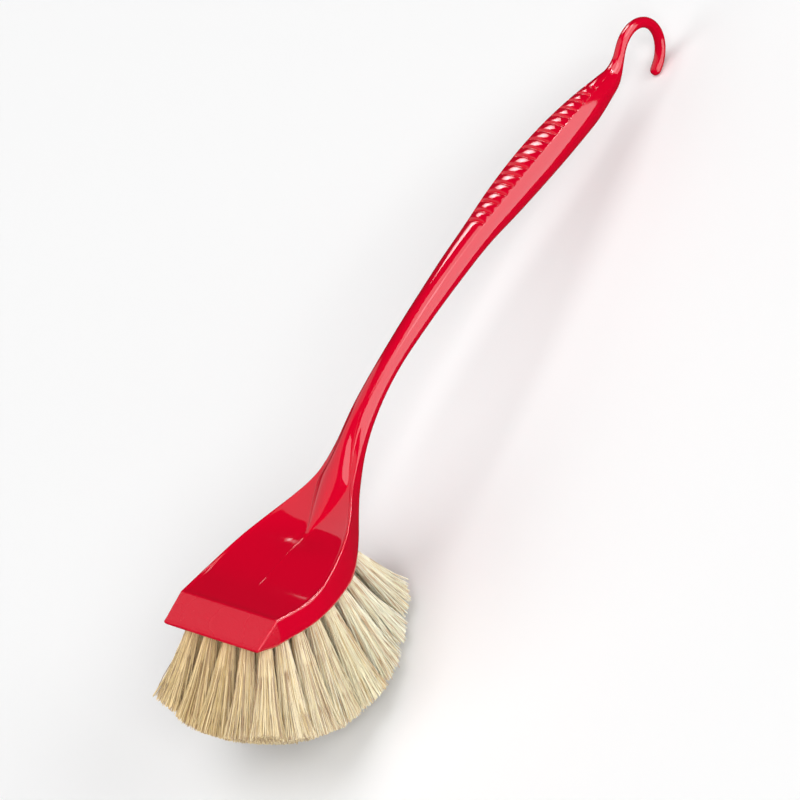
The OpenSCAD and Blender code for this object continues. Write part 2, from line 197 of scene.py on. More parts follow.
# %% The lines as functions
SLOPE_STEP = 0.5
LEAN_FROM, LEAN_FULL = head_at(0.78), neck_at(0.2)
BACK_FROM = head_at(0.6)
BEAD_RUN_IN, BEAD_END, BEAD_RUN_OUT = 2.5, head_at(0.9), 8
FOOT_AT_MOST = 0.92


def rim_z(x):
    return x * math.tan(math.radians(SCRAPER_ANGLE)) if x < 0 else curve(RIM_LINE, x)


def rim_slope(x):
    rise = rim_z(x + SLOPE_STEP) - rim_z(x - SLOPE_STEP)
    return math.degrees(math.atan2(rise, 2 * SLOPE_STEP))


def lean(x):
    return rim_slope(x) * fade(x, LEAN_FROM, LEAN_FULL)


def half_width(x):
    return mix(RIDGE_W, SCRAPER_W, x / LIP_X) / 2 if x < 0 else curve(HALF_WIDTH_LINE, x)


def back(x):
    return curve(BACK_LINE, max(x, BACK_FROM))


def under(x):
    return curve(NOSE_LINE, x) if x < 0 else curve(UNDER_LINE, x)


def dish(x):
    return 0.0 if x < 0 or x > HEAD_L else DISH_D * curve(DISH_LINE, x / HEAD_L)


def bead(x):
    return RIM_H * ease(x / BEAD_RUN_IN) * (1 - ease((x - BEAD_END) / BEAD_RUN_OUT))


def foot_half(x):
    return min(lookup(FOOT_LINE, x / HEAD_L), FOOT_AT_MOST * (half_width(x) - RIM_W))


def strip_half(x):
    along = (x - NECK_X) / NECK_L if x < GRIP_X else 1 + (x - GRIP_X) / GRIP_L
    return STRIP_W / 2 * curve(STRIP_LINE, along)


print("widest", round(2 * half_width(17), 1), "neck", round(2 * half_width(100), 1), "grip",
      round(2 * half_width(200), 1))

# %% [markdown]
# ### The ribs under the thumb
# Narrow grooves cross the strip at an even pitch, and the ribs are what stays between them. Each
# groove is a bell curve, and a faint crown on every rib keeps its highlight from being flat.

# %% The grooves
RIB_RUN = RIB_PITCH * math.cos(math.atan2(GRIP_RISE, GRIP_L))
RIB_X = END_X - RIBS_END_GAP - RIB_COUNT * RIB_RUN
GROOVE_HALF, GROOVE_REACH = 0.09, 0.2  # shares of the distance between two grooves
RIB_CROWN = 0.05


def groove(x):
    t = (x - RIB_X) / RIB_RUN
    if t < -GROOVE_REACH or t > RIB_COUNT + GROOVE_REACH:
        return 0.0
    away = abs(t - round(t))
    return RIB_D * math.exp(-(away / GROOVE_HALF) ** 2) + RIB_CROWN * (1 - ease(2 * away))


print("ribs from", round(RIB_X, 1), "to", round(RIB_X + RIB_COUNT * RIB_RUN, 1))

# %% [markdown]
# ## The hook's path
# A bend turns the body's line up into a rod, and the rod turns over on a circle. Its middle and
# its end are worked out first, because the brush rests on that end.

# %% The hook
END_SLOPE = rim_slope(END_X - 1)
ROD_R = ROD_D / 2


def path_step(a, b, r):
    a, b = math.radians(a), math.radians(b)
    return np.array([r * (math.sin(b) - math.sin(a)), r * (math.cos(a) - math.cos(b))])


END_POINT = np.array([END_X, rim_z(END_X)])
HOOK_START = END_POINT + path_step(END_SLOPE, TOP_SLOPE, BEND_R)
HOOK_CENTRE = HOOK_START + HOOK_R * np.array([math.sin(math.radians(TOP_SLOPE)),
                                              -math.cos(math.radians(TOP_SLOPE))])


def hook_point(turned):
    a = math.radians(TOP_SLOPE - turned)
    return HOOK_CENTRE + HOOK_R * np.array([-math.sin(a), math.cos(a)])


print("hook's middle", HOOK_CENTRE.round(1), "end", hook_point(HOOK_TURN).round(1))

# %% [markdown]
# ## Laying the brush down
# The brush rests on its trimmed fibre tips and on the end of its hook. The tilt that touches both
# is found as a drawing would find it: a line from the middle of the trimmed dome to the hook's
# end, and the difference of the two radii. The brush then slides along the floor until it is
# centred, with its foremost fibre tip as far from the middle as its hook. Every point goes through
# one matrix, so nothing moves afterwards.

# %% Where the rows of tufts leave the head
def row_mouth(i):
    x = FIRST_ROW_X + i * ROW_PITCH
    a = math.radians(lean(x))
    return np.array([x + under(x) * math.sin(a), rim_z(x) - under(x) * math.cos(a)])


def row_tilt(i):
    return mix(-FRONT_FAN, REAR_FAN, i / (len(ROWS) - 1))


TUFT_R = HOLE_D / 2 - TUFT_CLEAR
SPREAD = (TIP_D / 2 - TUFT_R) / (MEASURED_AT - STRAIGHT)
print("a tuft opens", round(math.degrees(math.atan(SPREAD)), 2), "degrees to each side")

# %% The matrix that lays everything down
reach = hook_point(HOOK_TURN) - np.array(TRIM_CENTRE)
LIE = math.atan2(reach[1], reach[0]) + math.asin((TRIM_R - ROD_R) / np.linalg.norm(reach))
to_floor = np.array([[math.cos(LIE), math.sin(LIE)], [-math.sin(LIE), math.cos(LIE)]])
lift = TRIM_R - (to_floor @ TRIM_CENTRE)[1]
fan, flare = math.radians(FRONT_FAN), math.atan(SPREAD)
front_dir = np.array([-math.sin(fan + flare), -math.cos(fan + flare)])
front_edge = (row_mouth(0) - TRIM_CENTRE + TUFT_R * np.array([-math.cos(fan), math.sin(fan)])
              - STRAIGHT * np.array([math.sin(fan), math.cos(fan)]))
ahead = front_edge @ front_dir
front_run = -ahead + math.sqrt(ahead**2 - front_edge @ front_edge + TRIM_R**2)
front_tip = TRIM_CENTRE + front_edge + front_run * front_dir
slide = (-(to_floor @ front_tip)[0] - (to_floor @ HOOK_CENTRE)[0] - HOOK_R - ROD_R) / 2
LAY = (Matrix.Translation((slide * MM, 0, lift * MM)) @ Matrix.Rotation(LIE, 4, "Y")
       @ Matrix.Scale(MM, 4))
print("laid at", round(math.degrees(LIE), 2), "degrees, moved", round(slide, 2), round(lift, 2))

# %% [markdown]
# ## Sections of the moulding
# A section is a ring of points across the body. The head's section has a rounded rim, a dished
# top and a wall with a little draft, the neck's is an oval, and the grip's carries the thumb
# strip. Each kind has the same number of points, so one form can flow into the next. Points are
# listed for one side only, from the widest place up to the middle, and then down to the middle.

# %% The head's section
EDGE_ROUND = [(0, 1), (0.15, 0.25), (0.7, 0)]  # inwards and down, in shares of the edge's radius
RIM_FLAT = 0.72                                # where the flat of the rim ends
DISH_STEP, FOOT_STEP = 0.7, 0.5                # from the rim, and from the edge of the foot
FOOT_POWER = 2.5


def dish_depth(x, y):
    inner = half_width(x) - RIM_W
    return -bead(x) - dish(x) * (1 - min(1, (y / inner) ** 2))


def back_over_dish(x, y):
    if x < BACK_FROM:
        return dish_depth(x, y)
    foot, top = foot_half(x), back(x)
    side = dish_depth(x, foot)
    return max(dish_depth(x, y), top - (top - side) * abs(y / foot) ** FOOT_POWER)


def head_over(x):
    wide, foot = half_width(x), foot_half(x)
    r = min(EDGE_R, under(x) / 3)
    rim_in = wide - RIM_W
    edge = [(wide - a * r, -d * r) for a, d in EDGE_ROUND] + [(wide - RIM_FLAT * RIM_W, 0)]
    in_dish = (rim_in, rim_in - DISH_STEP, mix(foot, rim_in, 0.6), foot + FOOT_STEP, foot)
    on_foot = (foot - FOOT_STEP if foot > 1 else 0.6 * foot, foot * 0.45, 0)
    return np.array(edge + [(y, dish_depth(x, y)) for y in in_dish]
                    + [(y, back_over_dish(x, y)) for y in on_foot])


def head_below(x):
    wide, deep = half_width(x), under(x)
    r, belly = min(WALL_R, deep / 2.5), BELLY * min(1, deep / WALL_H)
    wall = wide - DRAFT
    return np.array([(wide - DRAFT / 4, -0.5 * (deep - r)), (wall, -(deep - r)),
                     (wall - 0.3 * r, -(deep - 0.3 * r)), (wall - r, -deep),
                     (wide / 2, -deep - 0.75 * belly), (0, -deep - belly)])


print("points over and below", len(head_over(20)), len(head_below(20)))

# %% The neck's oval and the grip's section
OVER_ANGLES = [0, 8, 16, 24, 32, 41, 50, 58, 66, 74, 82, 90]
BELOW_ANGLES = [12, 25, 40, 56, 73, 90]
FLANK_SHARES = (0, 0.18, 0.36, 0.54, 0.72, 0.88)
STRIP_SHARES = (0.84, 0.56, 0.28, 0)
STRIP_MARGIN, STRIP_EDGE = 0.3, 0.12


def oval(angles, b, h):
    turns = [math.radians(a) for a in angles]
    return np.array([(b * math.cos(a), h * math.sin(a)) for a in turns])


def oval_over(b, h):
    return oval(OVER_ANGLES, b, h)


def oval_below(b, h):
    return oval([-a for a in BELOW_ANGLES], b, h)


def grip_over(x):
    wide, high, cut = half_width(x), back(x), groove(x)
    w = min(strip_half(x), wide - STRIP_MARGIN)
    side = high - STRIP_CROWN
    flank = [(w + (wide - w) * math.cos(math.radians(90 * t)), side * t) for t in FLANK_SHARES]
    edge = [(w + STRIP_EDGE, side - STRIP_EDGE), (w - 0.15, side - 0.1 * cut)]
    top = [(w * t, high - STRIP_CROWN * t**2 - cut) for t in STRIP_SHARES]
    return np.array(flank + edge + top)


print("points over and below", len(grip_over(200)), len(oval_below(4, 4)))

# %% [markdown]
# ### From one section to the next
# The head's section turns into an oval along the first part of the neck, and the oval into the
# grip's section along the last part. A weighted mean of two lists of points does both.

# %% Sections that flow into each other
OVER_ROUNDS_FROM, BELOW_ROUNDS_FROM, ROUND_AT = head_at(0.92), head_at(0.85), neck_at(0.27)
STRIP_FROM, STRIP_FULL = neck_at(0.52), grip_at(0.1)


def over_points(x):
    to_oval = fade(x, OVER_ROUNDS_FROM, ROUND_AT)
    to_grip = fade(x, STRIP_FROM, STRIP_FULL)
    if to_oval <= 0:
        return head_over(x)
    smooth = oval_over(half_width(x), back(x))
    if to_oval < 1:
        return mix(head_over(x), smooth, to_oval)
    return smooth if to_grip <= 0 else mix(smooth, grip_over(x), to_grip)


def below_points(x):
    to_oval = fade(x, BELOW_ROUNDS_FROM, ROUND_AT)
    smooth = oval_below(half_width(x), under(x))
    if to_oval <= 0:
        return head_below(x)
    return mix(head_below(x), smooth, to_oval) if to_oval < 1 else smooth


print("half a neck section", len(over_points(100)) + len(below_points(100)), "points")

# %% [markdown]
# ### Rings
# Each section is mirrored to a full ring, turned by the lean of the handle and set at its place.
# The lip at the front is rounded by three shrinking rings, the bend and the hook by rings that
# turn along their arcs, and the hook's end by three more shrinking rings.

# %% Rings of each kind
LIP_TAPER = 0.4
BEND_NARROWS, BEND_THINS = 1.6, 1.15


def ring(over, below, x, z, turn):
    half = list(over[::-1]) + list(below)
    points = half + [(-y, h) for y, h in half[-2:0:-1]]
    a = math.radians(turn)
    return np.array([(x - h * math.sin(a), y, z + h * math.cos(a)) for y, h in points])


def body_ring(x):
    return ring(over_points(x), below_points(x), x, rim_z(x), lean(x))


def lip_ring(a):
    r, full = LIP_T / 2, body_ring(LIP_X)
    a = math.radians(a)
    mid, wide = rim_z(LIP_X) - LIP_T / 2, full[:, 1].max()
    out = full.copy()
    out[:, 0] -= r * math.cos(a)
    out[:, 1] *= 1 - LIP_TAPER * r * (1 - math.sin(a)) / wide
    out[:, 2] = mid + (full[:, 2] - mid) * math.sin(a)
    return out


def bend_ring(t):
    slope = mix(END_SLOPE, TOP_SLOPE, t)
    p = END_POINT + path_step(END_SLOPE, slope, BEND_R)
    k = 1 - (1 - t) ** BEND_NARROWS
    over = mix(grip_over(END_X), oval_over(ROD_R, ROD_R), k)
    below = oval_below(mix(half_width(END_X), ROD_R, k),
                       mix(under(END_X), ROD_R, ease(BEND_THINS * t)))
    return ring(over, below, p[0], p[1], slope)


def rod_ring(turned, r, ahead):
    slope = TOP_SLOPE - turned
    a = math.radians(slope)
    p = hook_point(turned) + ahead * np.array([math.cos(a), math.sin(a)])
    return ring(oval_over(r, r), oval_below(r, r), p[0], p[1], slope)


def end_ring(a):
    a = math.radians(a)
    return rod_ring(HOOK_TURN, ROD_R * math.cos(a), ROD_R * math.sin(a))


print("points in a ring", len(body_ring(20)))

# %% [markdown]
# Rings stand close together where the form turns sharply, at the ridge, along the rim's start and
# in the grooves, and far apart elsewhere, which keeps the finished mesh under 200,000 triangles.

# %% All rings from the lip to the hook's end
NECK_STEPS, BEND_STEPS, HOOK_STEPS = 12, 7, 16
ridge_stops = [LIP_X * s for s in (1, 0.93, 0.6, 0.25, 0.05)] + [0, 0.5]
head_stops = [head_at(i / 30) for i in
              (1, 2, 3, 4.5, 6, 7.5, 9, 10.5, 12, 13.5, *range(15, 31))]
neck_stops = [neck_at(i / NECK_STEPS) for i in range(1, NECK_STEPS + 1)]
before_ribs = [mix(GRIP_X, RIB_X, i / 5) for i in (1, 2, 3, 4)] + [RIB_X - 0.8, RIB_X - 0.4]
rib_stops = [RIB_X + (i + t) * RIB_RUN for i in range(RIB_COUNT)
             for t in (0, 0.06, 0.16, 0.5, 0.84, 0.94)]
last_groove = RIB_X + RIB_COUNT * RIB_RUN
after_ribs = [last_groove, last_groove + 0.4, mix(last_groove, END_X, 0.5), END_X]
body_stops = ridge_stops + head_stops + neck_stops + before_ribs + rib_stops + after_ribs
rings = ([lip_ring(a) for a in (8, 30, 60)]
         + [body_ring(x) for x in body_stops]
         + [bend_ring(i / BEND_STEPS) for i in range(1, BEND_STEPS + 1)]
         + [rod_ring(HOOK_TURN * i / HOOK_STEPS, ROD_R, 0) for i in range(1, HOOK_STEPS + 1)]
         + [end_ring(a) for a in (25, 50, 72)])
print("rings", len(rings), "points in each", len(rings[0]))

# %% [markdown]
# ## The moulding
# By hand, a handle like this starts as one circle at the scraper's lip. The circle is extruded,
# and each new ring is pulled into the next section, all the way to the end of the hook. The two
# open ends are then closed with strips of faces.

# %% Select and find
def nothing_selected():
    if bpy.context.object and bpy.context.object.mode != "OBJECT":
        bpy.ops.object.mode_set(mode="OBJECT")
    bpy.ops.object.select_all(action="DESELECT")


def make_active(piece):
    nothing_selected()
    piece.select_set(True)
    bpy.context.view_layer.objects.active = piece


def nearest(spots, p):
    return int(np.argmin(((spots - np.array(p)) ** 2).sum(axis=1)))


print("selection helpers ready")

# %% Extrude the moulding ring by ring
def close_end(mesh, loop):
    n = len(loop)
    for i in range(n // 2):
        corners = [loop[i], loop[i + 1], loop[(n - i - 1) % n], loop[(n - i) % n]]
        mesh.faces.new(list(dict.fromkeys(corners)))


def loft_by_extruding(name, sections):
    nothing_selected()
    bpy.ops.mesh.primitive_circle_add(vertices=len(sections[0]), radius=1, location=(0, 0, 0))
    piece = bpy.context.object
    piece.name = name
    bpy.ops.object.mode_set(mode="EDIT")
    mesh = bmesh.from_edit_mesh(piece.data)
    for v, p in zip(mesh.verts, sections[0]):
        v.co = p
    previous = sections[0]
    for section in sections[1:]:
        bpy.ops.mesh.extrude_region_move(TRANSFORM_OT_translate={"value": (0, 0, 0)})
        mesh = bmesh.from_edit_mesh(piece.data)
        for v in [v for v in mesh.verts if v.select]:
            v.co = section[nearest(previous, v.co)]
        previous = section
    bmesh.update_edit_mesh(piece.data)
    bpy.ops.object.mode_set(mode="OBJECT")
    mesh = bmesh.new()
    mesh.from_mesh(piece.data)
    mesh.verts.ensure_lookup_table()
    spots = np.array([v.co for v in mesh.verts])
    for section in (sections[0], sections[-1]):
        close_end(mesh, [mesh.verts[nearest(spots, p)] for p in section])
    bmesh.ops.recalc_face_normals(mesh, faces=mesh.faces)
    mesh.to_mesh(piece.data)
    mesh.free()
    return piece


moulding = loft_by_extruding("moulding", rings)
print("cage faces", len(moulding.data.polygons))

# %% [markdown]
# ### Polished faces
# A Subdivision Surface rounds the cage as a mould's polished faces are, and the closely set rings
# keep the ridge, the rim and the grooves crisp. The mesh is then laid down by the matrix, so the
# object itself stays at the origin, unturned.

# %% Round the cage and lay it down
def apply_modifier(piece, kind, **settings):
    make_active(piece)
    modifier = piece.modifiers.new(kind.lower(), kind)
    for key, value in settings.items():
        setattr(modifier, key, value)
    bpy.ops.object.modifier_apply(modifier=modifier.name)


def lay_down(piece):
    piece.data.transform(LAY)
    make_active(piece)
    bpy.ops.object.shade_smooth()


apply_modifier(moulding, "SUBSURF", levels=2, render_levels=2)
lay_down(moulding)
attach(moulding, "root")
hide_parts("handle")
print("moulding faces", len(moulding.data.polygons))

# %% [markdown]
# ## The tufts
# Each tuft is a bundle of natural fibres, folded over a wire, pulled into its hole and sheared to
# one dome. Solid cones would never look like fibre, so every strand is drawn as its own thin
# curve: packed at the root, splaying towards the tip, a little wavy, and cut where it meets the
# dome. The inside of a bundle never shows, so most strands are spent near its outside.

# %% Where a tuft stands
def tuft_stand(i, j):
    y = (j - (ROWS[i] - 1) / 2) * TUFT_PITCH
    mouth = row_mouth(i)
    side = math.radians(SIDE_FAN * y / (2 * TUFT_PITCH))
    turn = Matrix.Rotation(-math.radians(row_tilt(i)), 3, "Y") @ Matrix.Rotation(side, 3, "X")
    axes = np.array(turn)
    return np.array([mouth[0], y, mouth[1]]), -axes[:, 2], axes[:, 0], axes[:, 1]


def trim_length(start, heading):
    w = start - np.array([TRIM_CENTRE[0], 0, TRIM_CENTRE[1]])
    b = w @ heading
    return -b + math.sqrt(b * b - w @ w + TRIM_R**2)


print("first tuft's mouth", tuft_stand(0, 0)[0].round(1))

# %% The path of a strand
STRANDS = 380
STRAND_POINTS = 6
CROWDING, ROOT_FILL, ROOT_DEPTH = 0.28, 0.97, 1.6
SPLAY, OPENING, STRAY, TUFT_STRAY = (0.75, 1.45), 0.012, 0.028, 0.032
TRIM_GAP, RAGGED = 0.35, 0.35
WAVE, WAVES, BOW = 0.33, (1.0, 2.4), 0.22
WIDEST = 31.6                          # past this a tip would leave the frame's box


def strand_path(stand, tuft_stray, dice):
    mouth, down, across, along = stand
    rho = dice.random() ** CROWDING
    a = dice.uniform(0, 2 * math.pi)
    out = math.cos(a) * across + math.sin(a) * along
    root = mouth + TUFT_R * ROOT_FILL * rho * out
    open_by = SPREAD * rho * dice.uniform(*SPLAY) + abs(dice.normal(0, OPENING))
    stray = tuft_stray + dice.normal(0, STRAY, 2)
    heading = down + open_by * out + stray[0] * across + stray[1] * along
    heading /= np.linalg.norm(heading)
    full = trim_length(root, heading) - TRIM_GAP - abs(dice.normal(0, RAGGED))
    wave = dice.normal(0, WAVE, 2)
    phase = dice.uniform(0, 2 * math.pi, 2)
    waves = dice.uniform(*WAVES)
    path = []
    for s in np.linspace(0, 1, STRAND_POINTS):
        d = -ROOT_DEPTH * (1 - s) + full * s
        bow = 1 - BOW * math.sin(math.pi * s)
        sway = [w * s * math.sin(2 * math.pi * waves * s + p) for w, p in zip(wave, phase)]
        p = root + down * d + (heading - down * (heading @ down)) * d * bow
        path.append(p + sway[0] * across + sway[1] * along)
    return path


def strand_paths(i, j, dice):
    stand = tuft_stand(i, j)
    tuft_stray = dice.normal(0, TUFT_STRAY, 2)
    paths = []
    while len(paths) < STRANDS:
        path = strand_path(stand, tuft_stray, dice)
        if abs(path[-1][1]) < WIDEST:
            paths.append(path)
    return paths


print("strands in a tuft", STRANDS)

# %% [markdown]
# ### From curves to one mesh
# All strands of a tuft are splines of one curve object. Its bevel gives them a thickness with four
# sides, which is enough at this size, and the curve is turned into a mesh. Three numbers are then
# kept on every point for the finish: "strand" is a random shade, "reach" climbs from 0 to 1 again
# and again, and "worn" is the same for the whole tuft. Blender lists the end caps of all strands
# before their sides, so the first two don't follow single strands. They fall in short patches,
# which mottle the bundle.

# %% Draw a tuft and number its points
STRAND_D, THICKNESS, TAPER = 0.35, (0.75, 1.2), 0.2


def draw_tuft(name, paths, dice):
    drawing = bpy.data.curves.new(name, "CURVE")
    drawing.dimensions = "3D"
    drawing.bevel_depth = STRAND_D / 2
    drawing.bevel_resolution = 0
    drawing.use_fill_caps = True
    for path in paths:
        strand = drawing.splines.new("POLY")
        strand.points.add(len(path) - 1)
        thick = dice.uniform(*THICKNESS)
        for n, (point, p) in enumerate(zip(strand.points, path)):
            point.co = (*p, 1)
            point.radius = thick * (1 - TAPER * n / (len(path) - 1))
    piece = bpy.data.objects.new(name, drawing)
    bpy.context.scene.collection.objects.link(piece)
    make_active(piece)
    bpy.ops.object.convert(target="MESH")
    return bpy.context.object


def number_points(piece, dice, wear):
    total = len(piece.data.vertices)
    each = total // STRANDS
    climb = np.repeat(np.linspace(0, 1, STRAND_POINTS), each // STRAND_POINTS)
    climbs = np.zeros(total)
    climbs[:len(climb) * STRANDS] = np.tile(climb, STRANDS)
    shades = np.repeat(dice.random(STRANDS), each)
    for key, values in (("strand", shades), ("reach", climbs), ("worn", np.full(total, wear))):
        layer = piece.data.attributes.new(key, "FLOAT", "POINT")
        layer.data.foreach_set("value", values)
    return each


print("strands", STRAND_D, "mm thick")

# %% [markdown]
# ### Planting the head
# The tufts at the scraper do most of the scrubbing, so they are the most worn, and wear fades
# away over five rows. Each tuft has its own seed, so it comes out the same on every run.

# %% Plant every tuft
WORN_ROWS, WEAR_AT_NEAR_SIDE, WEAR_STEP = 5, 0.6, 0.06

tufts = []
for i, count in enumerate(ROWS):
    for j in range(count):
        dice = np.random.default_rng(100 * i + j + 7)
        tuft = draw_tuft(f"fibres_{i + 1}_{j + 1}", strand_paths(i, j, dice), dice)
        wear = max(0, 1 - i / WORN_ROWS) * (WEAR_AT_NEAR_SIDE + WEAR_STEP * j)
        each = number_points(tuft, dice, wear)
        lay_down(tuft)
        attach(tuft, "root")
        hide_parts(f"tuft_{i + 1}_{j + 1}")
        tufts.append(tuft)
print("tufts", len(tufts), "points in a strand", each, "faces in a tuft",
      len(tufts[0].data.polygons))

# %% [markdown]
# ## Writing shader maths as sums
# A finish is easier to read as a formula than as a wall of nodes. This small class wraps one
# socket, so that plus, minus and times add the Math nodes.

# %% A small class for sockets
class Wire:
    def __init__(self, tree, socket):
        self.tree, self.socket = tree, socket

    def maths(self, kind, *values):
        settings = {"operation": kind}
        return Finish.add(self.tree, "ShaderNodeMath", settings, dict(enumerate(values)))

    def __add__(self, other):
        return self.maths("ADD", self, other)

    def __radd__(self, other):
        return self.maths("ADD", other, self)

    def __rsub__(self, other):
        return self.maths("SUBTRACT", other, self)

    def __mul__(self, other):
        return self.maths("MULTIPLY", self, other)

    def __rmul__(self, other):
        return self.maths("MULTIPLY", other, self)

    def __abs__(self):
        return self.maths("ABSOLUTE", self)


print("socket helper ready")

# %% [markdown]
# A finish is one material around one Principled shader. What is the same all over the surface is
# set on the shader's own sockets when the finish is made, one method adds any node, and what
# changes over the surface is fed to the shader at the end.

# %% A small class for finishes
class Finish:
    def __init__(self, name, **constants):
        self.material = bpy.data.materials.new(name)
        self.material.use_nodes = True
        self.tree = self.material.node_tree
        self.surface = self.tree.nodes["Principled BSDF"]
        for key, value in constants.items():
            self.surface.inputs[key.replace("_", " ")].default_value = value

    @staticmethod
    def add(tree, kind, settings=None, values=None, output=0):
        node = tree.nodes.new(kind)
        for key, value in (settings or {}).items():
            setattr(node, key, value)
        for key, value in (values or {}).items():
            if isinstance(value, Wire):
                tree.links.new(value.socket, node.inputs[key])
            else:
                node.inputs[key].default_value = value
        return Wire(tree, node.outputs[output])

    def node(self, kind, settings=None, values=None, output=0):
        return self.add(self.tree, kind, settings, values, output)

    def place(self):
        return self.node("ShaderNodeTexCoord", output="Object")

    def attribute(self, name):
        return self.node("ShaderNodeAttribute", {"attribute_name": name}, output="Fac")

    def noise(self, where, scale, detail):
        return self.node("ShaderNodeTexNoise", None,
                         {"Vector": where, "Scale": scale, "Detail": detail})

    def ramp(self, value, low, high):
        return self.node("ShaderNodeMapRange", {"interpolation_type": "SMOOTHSTEP"},
                         {"Value": value, "From Min": low, "From Max": high})

    def blend(self, share, one, other):
        return self.node("ShaderNodeMix", {"data_type": "RGBA"},
                         {"Factor": share, 6: one, 7: other}, 2)

    def feed(self, **wires):
        for key, wire in wires.items():
            self.tree.links.new(wire.socket, self.surface.inputs[key.replace("_", " ")])

    def dress(self, piece):
        piece.data.materials.clear()
        piece.data.materials.append(self.material)


print("finish helper ready")

# %% [markdown]
# ## Glossy red polypropylene
# The mould was polished, so the plastic is glossy, with a faint ripple that only its reflections
# show. The scraper's slope came from a duller part of the mould, handling has left a little haze,
# and a faint line runs down the middle of the dish. Two masks say where the slope and the line
# are. They are drawn in the brush's own upright frame, so a Mapping node first undoes the tilt.

# %% Where the scraper and the dish's middle line are
SLOPE_EDGE = (-0.4 * MM, 0.1 * MM)
LINE_STARTS, LINE_ENDS, LINE_HALF = (14 * MM, 22 * MM), (39 * MM, 41 * MM), 0.35 * MM

red = Finish("red_polypropylene", IOR=1.49)
here = red.place()
upright = red.node("ShaderNodeMapping", {"vector_type": "TEXTURE"},
                   {"Vector": here, "Location": (slide * MM, 0, lift * MM),
                    "Rotation": (0, LIE, 0)})
along_brush = red.node("ShaderNodeSeparateXYZ", None, {"Vector": upright}, "X")
across_brush = red.node("ShaderNodeSeparateXYZ", None, {"Vector": upright}, "Y")
on_scraper = 1 - red.ramp(along_brush, *SLOPE_EDGE)
line_span = red.ramp(along_brush, *LINE_STARTS) * (1 - red.ramp(along_brush, *LINE_ENDS))
middle_line = (1 - red.ramp(abs(across_brush), 0.0, LINE_HALF)) * line_span
print("masks on", red.material.name)

# %% The moulding's finish
POLISHED, HAZED, DULL = 0.035, 0.035, 0.22
RIPPLE_H, GRAIN_H, SCRAPER_GRAIN_H, LINE_H = 0.2 * MM, 0.004 * MM, 0.07 * MM, 0.06 * MM
DEEP_RED, BRIGHT_RED = (0.65, 0.0, 0.018, 1), (0.69, 0.0, 0.024, 1)

haze = red.noise(here, scale=60, detail=3)
grain = red.noise(here, scale=1500, detail=2)
ripple = red.noise(here, scale=38, detail=1)
shade = red.noise(here, scale=14, detail=2)
roughness = POLISHED + HAZED * haze + on_scraper * DULL
height = ripple * RIPPLE_H + grain * (GRAIN_H + SCRAPER_GRAIN_H * on_scraper) + middle_line * LINE_H
bump = red.node("ShaderNodeBump", None, {"Height": height, "Strength": 1.0, "Distance": 1.0})
red.feed(Base_Color=red.blend(shade, DEEP_RED, BRIGHT_RED), Roughness=roughness, Normal=bump)
red.dress(moulding)
print("red finish on", moulding.name)

# %% [markdown]
# ## Straw-coloured plant fibre
# Natural fibre is never one colour: most of it is cream and some is tan. A darker brown is painted
# shade. It is meant for the low end of each strand's reach, where the crowded roots lie in shadow,
# and since the reach falls in patches it shows here and there. Worn tufts are yellower, with more
# tan and a deeper painted shade. The patches follow the three numbers kept on the mesh. Fine fibres
# scatter light at a flat angle, which the sheen gives.

# %% The fibre's finish
PALE_CREAM, WHITE_CREAM = (0.98, 0.93, 0.66, 1), (1.0, 0.98, 0.82, 1)
WORN_CREAM = (1.0, 0.8, 0.42, 1)
DARK_TAN, LIGHT_TAN = (0.64, 0.46, 0.17, 1), (0.93, 0.76, 0.36, 1)
# Painted shade: darker browns that stand in for the shadow among the roots, deeper on worn tufts.
FRESH_PAINTED_SHADE, WORN_PAINTED_SHADE = (0.66, 0.45, 0.21, 1), (0.46, 0.28, 0.11, 1)
TAN_FROM, TAN_FULL, WORN_TAN, PAINTED_SHADE_REACH = 0.86, 1.0, 0.35, 0.28

straw = Finish("plant_fibre", Roughness=0.55, IOR=1.45, Diffuse_Roughness=1.0,
               Sheen_Weight=1.0, Sheen_Roughness=0.6)
strand, worn = straw.attribute("strand"), straw.attribute("worn")
mottle = straw.noise(straw.place(), scale=420, detail=2)
cream = straw.blend(worn, straw.blend(strand, PALE_CREAM, WHITE_CREAM), WORN_CREAM)
tan = straw.blend(mottle, DARK_TAN, LIGHT_TAN)
clean = straw.blend(straw.ramp(strand + WORN_TAN * worn, TAN_FROM, TAN_FULL), cream, tan)
# Painted shade: the darker brown covers the low end of the reach, in place of shadow near the
# roots.
painted_shade = straw.blend(worn, FRESH_PAINTED_SHADE, WORN_PAINTED_SHADE)
past_painted_shade = straw.ramp(straw.attribute("reach"), 0.0, PAINTED_SHADE_REACH)
straw.feed(Base_Color=straw.blend(past_painted_shade, painted_shade, clean))
for tuft in tufts:
    straw.dress(tuft)
print("fibre finish on", len(tufts), "tufts")

# %% [markdown]
# ## The anchor wires
# The wires stay inside the head, where the frame's own solids already have the right shape. They
# get a drawn-wire finish: bright, with a fine mottle that also changes how sharply it shines.

# %% The wire's finish
DARK_STEEL, BRIGHT_STEEL = (0.5, 0.5, 0.52, 1), (0.68, 0.68, 0.7, 1)
SHARPEST, MOTTLED = 0.25, 0.15

wire = Finish("drawn_wire", Metallic=1.0)
drawn = wire.noise(wire.place(), scale=900, detail=2)
wire.feed(Base_Color=wire.blend(drawn, DARK_STEEL, BRIGHT_STEEL),
          Roughness=SHARPEST + MOTTLED * drawn)
anchors = [node for name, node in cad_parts.items() if name.startswith("anchors")]
for node in anchors:
    wire.dress(node)
print("wire finish on", len(anchors), "rows of anchors")

# %% [markdown]
# ## The floor
# The brush lies on a plain pale floor that keeps its shadow. The floor is left out of reflections,
# so the red stays deep where the plastic faces downwards.

# %% The floor
FLOOR_R = 6
FLOOR_GREY, FLOOR_PALE = (0.955, 0.955, 0.955, 1), (0.97, 0.97, 0.97, 1)

